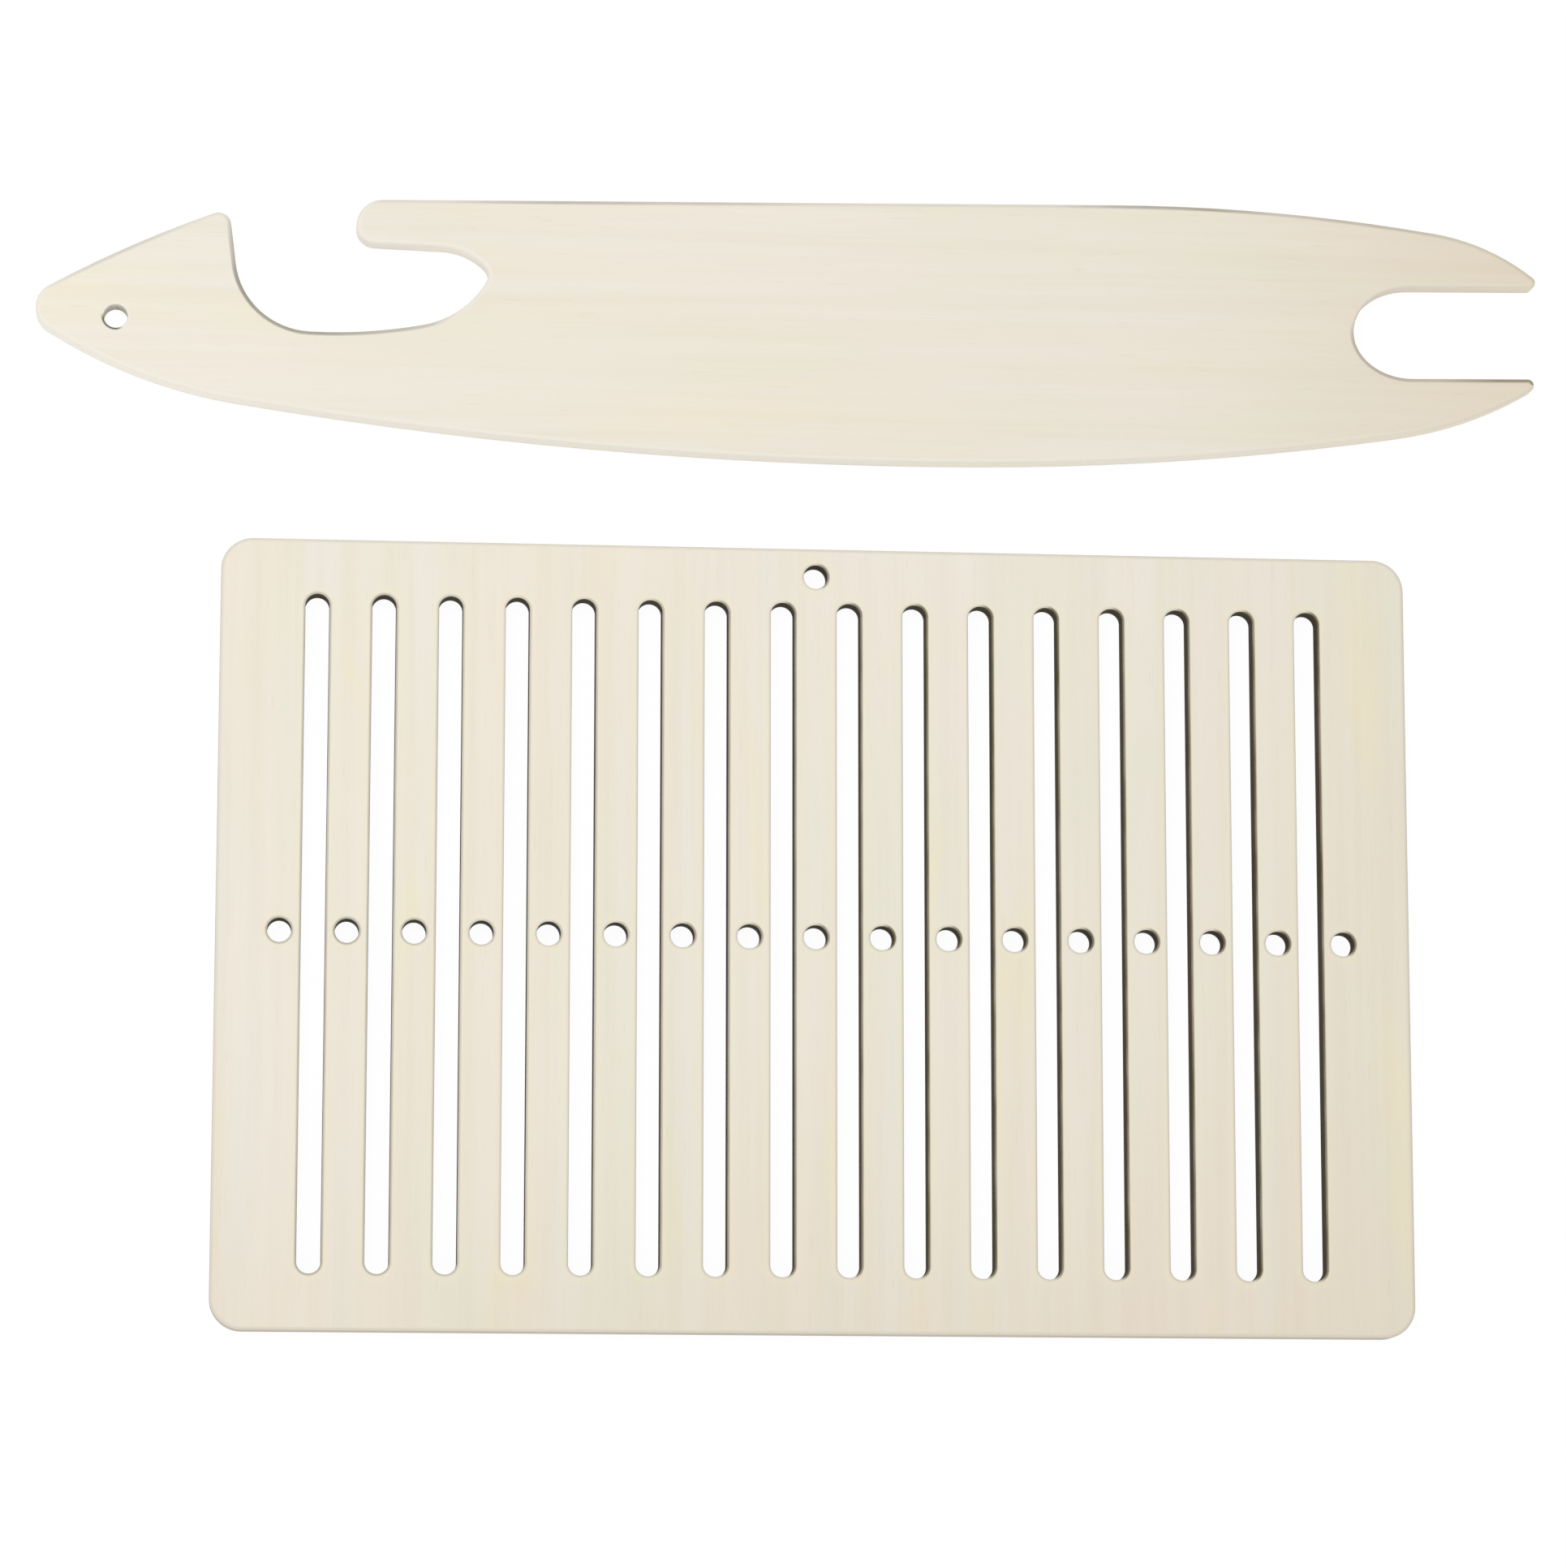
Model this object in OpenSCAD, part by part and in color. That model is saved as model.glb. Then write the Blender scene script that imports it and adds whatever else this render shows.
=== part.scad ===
// Band weaving loom: a rigid heddle and a netting shuttle, both cut from thin board.
// The origin is the middle eye of the heddle, at its underside. X runs across the warp,
// Y along the slots, and Z up from the table that both pieces lie on.

/* [Board] */
// Thickness of the board that both pieces are cut from
board_t = 3; // [2:0.5:6]

/* [Heddle] */
// Number of slots; there is one eye more than slots
slots = 16; // [4:2:40]
// Distance from one slot to the next, and from one eye to the next
pitch = 8.35; // [6.5:0.05:12]
// Distance from the left edge of the plate to the first eye
left_margin = 7.9; // [5:0.1:20]
// Distance from the last eye to the right edge of the plate
right_margin = 8.5; // [5:0.1:20]
// Width of the rails above and below the slots
rail = 7; // [6:0.5:20]
// Radius of the plate's corners
corner_r = 4; // [1:0.5:6]

/* [Slots and holes] */
// Length of a slot, over its round ends
slot_l = 85; // [30:1:150]
// Width of a slot
slot_w = 3; // [1.5:0.1:3.5]
// Diameter of an eye
eye_d = 3; // [1.5:0.1:3.5]
// Diameter of the hanging hole
hanging_d = 3; // [1.5:0.1:4]
// Distance from the top edge of the plate to the middle of the hanging hole
hanging_drop = 3.6; // [3:0.1:4]

/* [Shuttle] */
// Length of the shuttle
shuttle_l = 192; // [170:1:240]
// Width of the shuttle, from its lowest point to its straight back
shuttle_w = 34; // [31:0.5:40]
// Radius of the nose
nose_r = 3.2; // [2:0.1:5]
// Height of the middle of the nose above the lowest point of the belly
nose_h = 19.8; // [17:0.1:22]
// Radius of the brow, which runs from the nose up to the hook
brow_r = 150; // [80:5:400]
// Radius of the prongs' points
point_r = 0.8; // [0.4:0.1:1.5]

/* [Tie hole] */
// Diameter of the tie hole in the nose
tie_d = 3; // [1.5:0.1:4]
// Distance from the tip of the nose to the middle of the tie hole
tie_x = 10; // [8:0.1:14]
// Height of the tie hole above the lowest point of the belly
tie_h = 18.6; // [17:0.1:21]

/* [Belly] */
// Distance from the tip of the nose to the lowest point of the belly
low_x = 119; // [100:1:130]
// Distance from the tip of the nose to the start of the belly's long arc
head_join = 25; // [20:1:35]
// Height of the belly at the start of the long arc
head_rise = 7.9; // [5:0.1:9]
// Distance from the end of the rising arc to the upper prong's point
tail_join = 18.5; // [16:0.5:30]
// Height of the belly at the end of the rising arc
tail_rise = 3.85; // [2:0.05:5]

/* [Back] */
// Length of the tapered stretch at the tail
taper_l = 54.5; // [40:0.5:70]
// Distance from the end of the taper to the upper prong's point
back_join = 13; // [10:0.5:18]
// How far the back has come down at the end of the taper
back_drop = 3.5; // [1:0.1:4.5]

/* [Fork] */
// Width of the gap between the prongs
fork_w = 12; // [8:0.5:14]
// Depth of the gap, from the upper prong's point
fork_d = 24; // [15:0.1:35]
// Length of the gap's rounded end
fork_end = 7.5; // [4:0.1:10]
// Height of the middle of the gap above the lowest point of the belly
fork_h = 17.3; // [16:0.1:18.5]
// How much shorter the lower prong is than the upper one
prong_set = 0.7; // [0:0.1:2]

/* [Hook] */
// Distance from the tip of the nose to the outer side of the hook's point
hook_x = 24.5; // [23:0.1:26]
// How far the hook's point lies below the straight back
hook_drop = 1.8; // [0:0.1:3]
// Radius of the hook's point
hook_r = 1.6; // [0.8:0.1:2.2]

/* [Jaw] */
// Distance from the tip of the nose to the end of the jaw
jaw_x = 40.3; // [36:0.1:43]
// Thickness of the jaw at its end
jaw_t = 5.8; // [5:0.1:6.5]
// Radius of the upper corner of the jaw's end
jaw_top_r = 3.4; // [2:0.1:4]
// How much the jaw thickens from its end to the lip
lip_drop = 0.4; // [0:0.1:1]
// Distance from the tip of the nose to the middle of the lip's arc
lip_x = 50.7; // [49:0.1:52]
// Radius of the lip, where the jaw turns down into the shuttle
lip_r = 8.1; // [7.5:0.1:9.5]

/* [Notch] */
// How far the notch's near side is cut in behind the hook's point
notch_set = 0.5; // [0:0.1:1.5]
// Depth of the notch below the straight back, at its near corner
notch_d = 17.2; // [16:0.1:18]
// Radius of the notch's near corner
near_r = 9.8; // [9:0.1:11]
// Radius of the notch's shallow floor
floor_r = 61; // [40:1:90]
// Angle through which the floor still falls after the near corner
floor_fall = 3.1; // [1:0.1:6]
// Angle to which the floor rises before the far side
floor_rise = 10.4; // [8:0.1:14]
// Radius of the notch's far side, where the floor climbs
climb_r = 11.9; // [10:0.1:15]
// Radius of the far end, where the climb meets the lip
far_r = 1.6; // [0.8:0.1:3]

/* [Layout] */
// Gap between the heddle and the shuttle's belly, as they lie
lay_gap = 11.6; // [2:0.1:40]
// Distance of the shuttle's nose to the left of the middle eye
lay_left = 98.1; // [60:0.1:130]
// Angle by which the shuttle is turned from the heddle's upper edge
lay_turn = 1.1; // [0:0.1:3]

/* [Hidden] */

// Facet count of the round holes and corners
$fn = 48;
// How far a chord of a curved edge may stray from its true arc
stray = 0.01;
// How far a cutting tool runs past the face that it cuts
past = 1;
// Shortest edge that the outline keeps
least_edge = 0.01;

heddle_colour = [0.92, 0.90, 0.83];
shuttle_colour = [0.93, 0.91, 0.84];

eyes = slots + 1;
heddle_w = left_margin + slots * pitch + right_margin;
heddle_h = slot_l + 2 * rail;
heddle_left = -slots * pitch / 2 - left_margin;
heddle_top = heddle_h / 2;

function unit(a) = [cos(a), sin(a)];
function heading(v) = atan2(v[1], v[0]);

// Points of an arc about c, anticlockwise (side 1) or clockwise (side -1), from heading a to b
function arc(c, r, a, b, side = 1) =
    let (
        sweep = ((side * (b - a)) % 360 + 360) % 360,
        chord = sqrt(8 * r * stray),
        steps = max(2, ceil(sweep * PI / 180 * r / chord))
    )
    [for (i = [0 : steps]) c + r * unit(a + side * sweep * i / steps)];

// Point where circle r1 about c1 meets circle r2 about c2, on the given side of the line c1 to c2
function meet(c1, r1, c2, r2, side) =
    let (
        d = c2 - c1,
        along = (r1 * r1 - r2 * r2 + d * d) / (2 * norm(d)),
        across = sqrt(r1 * r1 - along * along),
        e = d / norm(d)
    )
    c1 + along * e + side * across * [-e[1], e[0]];

// Radius of an arc that starts level and comes away by h over a length l
function rising_r(l, h) = (l * l + h * h) / (2 * h);

// Radius of the arc that leaves p square to the normal n and closes round a circle r about c
function closing_r(p, n, r, c) =
    let (d = c - (p + r * n))
    d * d / (2 * d * n) + r;

// Heading from a to the touching point of the line that crosses between circles ra and rb
function crossing(a, ra, b, rb, side) =
    heading(b - a) + side * acos((ra + rb) / norm(b - a));

// The outline without points that repeat the one before
function distinct(p) =
    [for (i = [0 : len(p) - 1]) if (norm(p[i] - p[(i + 1) % len(p)]) > least_edge) p[i]];

// Nose and hook's point
nose_c = [nose_r, nose_h];
hook_c = [hook_x - hook_r, shuttle_w - hook_drop - hook_r];
brow_c = meet(nose_c, brow_r - nose_r, hook_c, brow_r - hook_r, -1);

// Belly: an arc from the nose, the long arc, the rising arc and an arc to the lower prong
belly_r = rising_r(low_x - head_join, head_rise);
belly_c = [low_x, belly_r];
head_out = unit(-90 - asin((low_x - head_join) / belly_r));
head_p = belly_c + belly_r * head_out;
head_r = closing_r(head_p, -head_out, nose_r, nose_c);
head_c = head_p - head_r * head_out;
rise_l = shuttle_l - tail_join - low_x;
rise_r = rising_r(rise_l, tail_rise);
rise_c = [low_x, rise_r];
tail_out = unit(-90 + asin(rise_l / rise_r));
tail_p = rise_c + rise_r * tail_out;
lower_point_c = [shuttle_l - prong_set - point_r, fork_h - fork_w / 2 - point_r];
tail_r = closing_r(tail_p, -tail_out, point_r, lower_point_c);
tail_c = tail_p - tail_r * tail_out;

// Back: the straight stretch, the taper and an arc to the upper prong
upper_point_c = [shuttle_l - point_r, fork_h + fork_w / 2 + point_r];
taper_r = rising_r(taper_l - back_join, back_drop);
taper_c = [shuttle_l - taper_l, shuttle_w - taper_r];
back_out = unit(90 - asin((taper_l - back_join) / taper_r));
back_p = taper_c + taper_r * back_out;
back_r = closing_r(back_p, -back_out, point_r, upper_point_c);
back_c = back_p - back_r * back_out;
fork_c = [shuttle_l - fork_d + fork_end, fork_h];

// Jaw and lip
jaw_low_r = jaw_t - jaw_top_r;
jaw_top_c = [jaw_x + jaw_top_r, shuttle_w - jaw_top_r];
jaw_low_c = [jaw_x + jaw_low_r, shuttle_w - jaw_t + jaw_low_r];
lip_c = [lip_x, shuttle_w - jaw_t - lip_drop - lip_r];
jaw_touch = crossing(jaw_low_c, jaw_low_r, lip_c, lip_r, -1);

// Notch: near corner, floor, climb and far end
near_c = [hook_x + notch_set + near_r, shuttle_w - notch_d + near_r];
floor_from = -90 - floor_fall;
floor_to = -90 + floor_rise;
floor_c = near_c - (floor_r - near_r) * unit(floor_from);
climb_c = floor_c + (floor_r - climb_r) * unit(floor_to);
far_c = meet(lip_c, lip_r - far_r, climb_c, climb_r - far_r, -1);
near_touch = crossing(near_c, near_r, hook_c, hook_r, 1);

function belly() = concat(
    arc(nose_c, nose_r, heading(nose_c - brow_c), heading(nose_c - head_c)),
    arc(head_c, head_r, heading(nose_c - head_c), heading(head_out)),
    arc(belly_c, belly_r, heading(head_out), -90),
    arc(rise_c, rise_r, -90, heading(tail_out)),
    arc(tail_c, tail_r, heading(tail_out), heading(lower_point_c - tail_c)),
    arc(lower_point_c, point_r, heading(lower_point_c - tail_c), 90));

function fork() =
    let (steps = ceil(180 / acos(1 - stray / fork_end) / 2))
    [for (i = [0 : steps])
        let (a = 270 - 180 * i / steps)
        fork_c + [fork_end * cos(a), fork_w / 2 * sin(a)]];

function back() = concat(
    arc(upper_point_c, point_r, -90, heading(upper_point_c - back_c)),
    arc(back_c, back_r, heading(upper_point_c - back_c), heading(back_out)),
    arc(taper_c, taper_r, heading(back_out), 90));

function jaw() = concat(
    arc(jaw_top_c, jaw_top_r, 90, 180),
    arc(jaw_low_c, jaw_low_r, 180, jaw_touch));

function notch() = concat(
    arc(lip_c, lip_r, jaw_touch + 180, heading(far_c - lip_c), -1),
    arc(far_c, far_r, heading(far_c - lip_c), heading(far_c - climb_c), -1),
    arc(climb_c, climb_r, heading(far_c - climb_c), floor_to, -1),
    arc(floor_c, floor_r, floor_to, floor_from, -1),
    arc(near_c, near_r, floor_from, near_touch, -1));

function brow() = concat(
    arc(hook_c, hook_r, near_touch + 180, heading(hook_c - brow_c)),
    arc(brow_c, brow_r, heading(hook_c - brow_c), heading(nose_c - brow_c)));

module rounded_plate() {
    translate([heddle_left, -heddle_top, 0])
    linear_extrude(board_t)
    union() {
        translate([corner_r, 0]) square([heddle_w - 2 * corner_r, heddle_h]);
        translate([0, corner_r]) square([heddle_w, heddle_h - 2 * corner_r]);
        for (x = [corner_r, heddle_w - corner_r], y = [corner_r, heddle_h - corner_r])
            translate([x, y]) circle(corner_r);
    }
}

module slot_cut() {
    straight = slot_l - slot_w;
    translate([0, 0, -past])
    linear_extrude(board_t + 2 * past)
    union() {
        translate([-slot_w / 2, -straight / 2]) square([slot_w, straight]);
        for (y = [-straight / 2, straight / 2])
            translate([0, y]) circle(d = slot_w);
    }
}

module hole_cut(d) {
    translate([0, 0, -past]) cylinder(d = d, h = board_t + 2 * past);
}

module heddle() {
    color(heddle_colour)
    difference() {
        rounded_plate();
        for (i = [0 : slots - 1])
            translate([(i - (slots - 1) / 2) * pitch, 0, 0]) slot_cut();
        for (i = [0 : eyes - 1])
            translate([(i - (eyes - 1) / 2) * pitch, 0, 0]) hole_cut(eye_d);
        translate([0, heddle_top - hanging_drop, 0]) hole_cut(hanging_d);
    }
}

module shuttle() {
    lay_low = low_x * sin(lay_turn);
    color(shuttle_colour)
    translate([-lay_left, heddle_top + lay_gap - lay_low, 0])
    rotate(lay_turn)
    difference() {
        linear_extrude(board_t)
            polygon(distinct(concat(belly(), fork(), back(), jaw(), notch(), brow())));
        translate([tie_x, tie_h, 0]) hole_cut(tie_d);
    }
}

heddle();
shuttle();
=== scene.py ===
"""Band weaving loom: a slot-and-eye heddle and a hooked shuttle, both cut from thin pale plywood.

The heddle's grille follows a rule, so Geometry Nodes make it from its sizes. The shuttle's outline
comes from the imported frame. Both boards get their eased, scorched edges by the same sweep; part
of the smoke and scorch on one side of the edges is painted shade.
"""

import math

import bmesh
import bpy
from mathutils import Euler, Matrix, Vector


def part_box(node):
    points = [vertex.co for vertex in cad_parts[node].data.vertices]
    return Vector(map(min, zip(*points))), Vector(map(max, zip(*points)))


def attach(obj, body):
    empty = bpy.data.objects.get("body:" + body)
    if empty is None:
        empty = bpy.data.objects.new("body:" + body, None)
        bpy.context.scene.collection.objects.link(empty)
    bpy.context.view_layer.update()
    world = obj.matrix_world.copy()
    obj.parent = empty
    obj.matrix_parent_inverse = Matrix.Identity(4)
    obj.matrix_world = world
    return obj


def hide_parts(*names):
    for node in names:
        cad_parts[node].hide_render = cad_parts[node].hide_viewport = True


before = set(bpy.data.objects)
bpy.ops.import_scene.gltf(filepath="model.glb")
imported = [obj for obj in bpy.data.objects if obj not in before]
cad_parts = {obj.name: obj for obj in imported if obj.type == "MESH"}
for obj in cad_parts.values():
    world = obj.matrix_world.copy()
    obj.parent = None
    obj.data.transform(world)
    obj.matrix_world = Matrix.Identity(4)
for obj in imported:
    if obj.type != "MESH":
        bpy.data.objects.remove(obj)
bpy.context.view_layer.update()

bl_info = {
    "name": "Band weaving loom",
    "version": (1, 0, 0),
    "blender": (4, 5, 0),
    "location": "3D View > Sidebar > Loom",
    "description": "Builds a rigid heddle, its shuttle and a plain studio around them",
    "category": "Object",
}

MM = 0.001
JOIN_DISTANCE = 0.002 * MM
LONGEST_STEP = 4.0 * MM
HEDDLE_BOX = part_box("heddle")

# Steps of what is rounded, and the length round an outline under which it is a hole
ARRIS_STEPS = 3
CORNER_STEPS = 14
ROUND_STEPS = 56
HOLE_ROUND = 30.0 * MM

# Points of the swept edge's profile, and how near to 0 or 1 the edge attribute counts as that
PROFILE_POINTS = 4
EDGE_SLACK = 0.01

# Figure of the face: cells to the metre along the grain, across it and in depth, then the noise's
# detail, roughness, distortion and turn
FIGURE = {
    "cloud": ((7.0, 22.0, 20.0), 3.0, 0.55, 0.5, 0.0),
    "patch": ((16.0, 62.0, 20.0), 2.0, 0.5, 0.3, 0.12),
    "ash": ((12.0, 150.0, 40.0), 2.0, 0.5, 0.2, 0.05),
    "stain": ((24.0, 120.0, 40.0), 2.0, 0.5, 0.4, -0.08),
    "streak": ((9.0, 520.0, 60.0), 4.0, 0.6, 0.0, 0.0),
    "fine": ((90.0, 2600.0, 300.0), 3.0, 0.65, 0.0, 0.0),
    "pores": ((220.0, 3600.0, 400.0), 1.0, 0.5, 0.0, 0.0),
}

# The values of each field between which it comes in
SHOWS = {"cloud": (0.3, 0.7), "patch": (0.5, 0.66), "ash": (0.52, 0.72), "stain": (0.57, 0.74),
         "streak": (0.35, 0.75), "fine": (0.4, 0.8), "pores": (0.68, 0.8)}

# Shares of streaks, fine grain and pores in the face's tint and in its relief
TINT_SHARES = (0.5, 0.25, 0.25)
RELIEF_SHARES = (0.6, 0.4, -0.8)

# How strongly each board's face is mottled, and where it grows darker: partly the wood's tone, partly
# painted shade of the light's falloff
HEDDLE_MOTTLING = 0.8
SHUTTLE_MOTTLING = 0.45
HEDDLE_DARKER_END = (0.0, 0.1)
SHUTTLE_DARKER_END = (0.04, 0.1)

# The tone beside a hole: how far it reaches, its cells to the metre and its strength
HALO_REACH = (0.2 * MM, 1.6 * MM)
HALO_CELLS = (220.0, 110.0, 100.0)
HALO_SHARE = 0.9

# Plies in the cut wall, in shares of the thickness from its middle, and how strongly they show
PLY_CELLS = (300.0, 300.0, 40.0)
PLY_WOBBLE = 0.03
GLUE_LEVEL = 0.29
GLUE_FADE = (0.004, 0.03)
GLUE_SHARE = 0.35
CORE_FADE = (0.26, 0.3)
CORE_SHARE = 0.6
PLY_RELIEF = 0.3

# Marks that the beam leaves down the wall, blotches of its smoke, which is partly painted shade, how
# far scorch deepens towards the underside, and the share of the arris over which the wall takes on
# the eased edge's tone
BEAM_CELLS = (2600.0, 2600.0, 30.0)
BEAM_ROUGHNESS = 0.55
BEAM_SHOWS = (0.35, 0.75)
BEAM_SHARE = 0.25
BEAM_RELIEF = 0.7
BLOTCH_CELLS = (160.0, 160.0, 60.0)
BLOTCH_SHARE = 0.6
SCORCH_DEEPENS = (0.0, 0.7)
ARRIS_FADE = 0.6

# Least roughness, what the grain adds to it, the relief's depth and the specular level
FACE_SURFACE = (0.58, 0.14, 0.02 * MM, 0.3)
WALL_SURFACE = (0.62, 0.2, 0.03 * MM, 0.1)

# Scorch and smoke of the heddle, from 0 to 1, then the facing and the stretches across the plate
# over which the smoke changes. The smoke on hole edges that face the scorched side, growing
# towards the right, is partly painted shade that deepens the slots' dark walls
OUTER_SCORCH = 0.4
OUTER_SMOKE = 0.1
LEAST_SMOKE = 0.1
AWAY_SMOKE_AND_SHADE = 0.85
NEAR_SMOKE = 0.3
SMOKE_AND_SHADE_TURN = (0.1, 0.8)
SMOKE_AND_SHADE_GROWTH = (-0.065, 0.025)
LEFT_SMOKE = (-0.058, -0.035)

# Scorch and smoke of the shuttle, the spots where the beam dwelt with their strength and reach, and
# the tip of the hook, which stays pale. Scorch and smoke on the edges that face the scorched side
# are partly painted shade of edges turned from the light
SCORCH_AND_SHADE_RANGE = (0.3, 0.8)
BACK_SMOKE = 0.12
DWELT_SMOKE = 0.85
BEAM_DWELT = (((-0.0690, 0.0795, 0.0), 0.58), ((-0.0570, 0.0766, 0.0), 0.42), ((-0.0885, 0.0776, 0.0), 1.0),
              ((-0.0310, 0.0950, 0.0), 0.32), ((-0.0155, 0.0950, 0.0), 0.2), ((0.0470, 0.0950, 0.0), 0.45),
              ((0.0700, 0.0900, 0.0), 0.22), ((0.0680, 0.0730, 0.0), 0.33), ((0.0920, 0.0705, 0.0), 0.6))
DWELL_REACH = (0.004, 0.018)
HOOK_TIP = (-0.0735, 0.0950, 0.0)
TIP_REACH = (0.0025, 0.0070)

# Lamps, daylight and floor of the studio
LAMP_COLOUR = (0.92, 1.0, 1.12)
LAMP_SIZE = 0.3
LAMP_PLACE = (-0.16, 0.14, 0.45)
LAMP_AIM = (0.0, 0.02, 0.0)
FILL_SIZE = 0.9
FILL_PLACE = (-0.1, -1.4, 0.43)
FILL_AIM = (0.0, 0.06, 0.0)
DAYLIGHT_COLOUR = (1.03, 1.0, 0.95, 1.0)
WHITE = (1.0, 1.0, 1.0, 1.0)
PAPER = (0.9, 0.9, 0.9, 1.0)
FLOOR_GLOW = 1.02
FLOOR_WHITENESS = 0.94


# Sums on sockets


class Socket:
    """A socket of a node tree. Python's operators on it add Math nodes to the tree."""

    def __init__(self, graph, socket):
        self.graph = graph
        self.socket = socket

    def math(self, operation, *values):
        """Adds a Math node and gives its result."""
        inputs = dict(enumerate(values))
        return self.graph.add("ShaderNodeMath", {"operation": operation}, inputs).out()

    def __add__(self, other):
        return self.math("ADD", self, other)

    def __radd__(self, other):
        return self.math("ADD", other, self)

    def __sub__(self, other):
        return self.math("SUBTRACT", self, other)

    def __rsub__(self, other):
        return self.math("SUBTRACT", other, self)

    def __mul__(self, other):
        return self.math("MULTIPLY", self, other)

    def __rmul__(self, other):
        return self.math("MULTIPLY", other, self)

    def __truediv__(self, other):
        return self.math("DIVIDE", self, other)

    def __rtruediv__(self, other):
        return self.math("DIVIDE", other, self)

    def __neg__(self):
        return self.math("MULTIPLY", self, -1.0)

    def __abs__(self):
        return self.math("ABSOLUTE", self)

    def __lt__(self, other):
        return self.math("LESS_THAN", self, other)

    def __gt__(self, other):
        return self.math("GREATER_THAN", self, other)

    def least(self, other):
        return self.math("MINIMUM", self, other)

    def most(self, other):
        return self.math("MAXIMUM", self, other)

    def root(self):
        return self.math("SQRT", self)

    def sign(self):
        return self.math("SIGN", self)

    def nearest(self):
        return self.math("ROUND", self)


class Node:
    """A node that has been added, with its outputs by name."""

    def __init__(self, graph, node):
        self.graph = graph
        self.node = node

    def out(self, name=None):
        """The output of that name, or the first one in use."""
        shown = [s for s in self.node.outputs if s.enabled]
        socket = shown[0] if name is None else next(s for s in shown if s.name == name)
        return Socket(self.graph, socket)


class Graph:
    """A node tree under construction."""

    def __init__(self, tree):
        self.tree = tree

    def add(self, kind, settings=None, inputs=None):
        """Adds a node: its settings first, then the values or links of its sockets."""
        node = self.tree.nodes.new(kind)
        for name, value in (settings or {}).items():
            setattr(node, name, value)
        for name, value in (inputs or {}).items():
            if isinstance(name, int):
                socket = node.inputs[name]
            else:
                socket = next(s for s in node.inputs if s.enabled and s.name == name)
            for part in value if isinstance(value, list) else [value]:
                if isinstance(part, Socket):
                    self.tree.links.new(part.socket, socket)
                else:
                    socket.default_value = part
        return Node(self, node)

    def parts(self, vector):
        """X, Y and Z of a vector."""
        split = self.add("ShaderNodeSeparateXYZ", None, {"Vector": vector})
        return split.out("X"), split.out("Y"), split.out("Z")


def soft_step(value, low, high):
    """0 below low, 1 above high and a soft change between."""
    settings = {"interpolation_type": "SMOOTHSTEP"}
    inputs = {"Value": value, "From Min": low, "From Max": high}
    return value.graph.add("ShaderNodeMapRange", settings, inputs).out()


def weighted(fields, shares):
    """The sum of the fields, each times its share."""
    first, *others = (field * share for field, share in zip(fields, shares))
    return sum(others, first)


# Geometry Nodes


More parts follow.
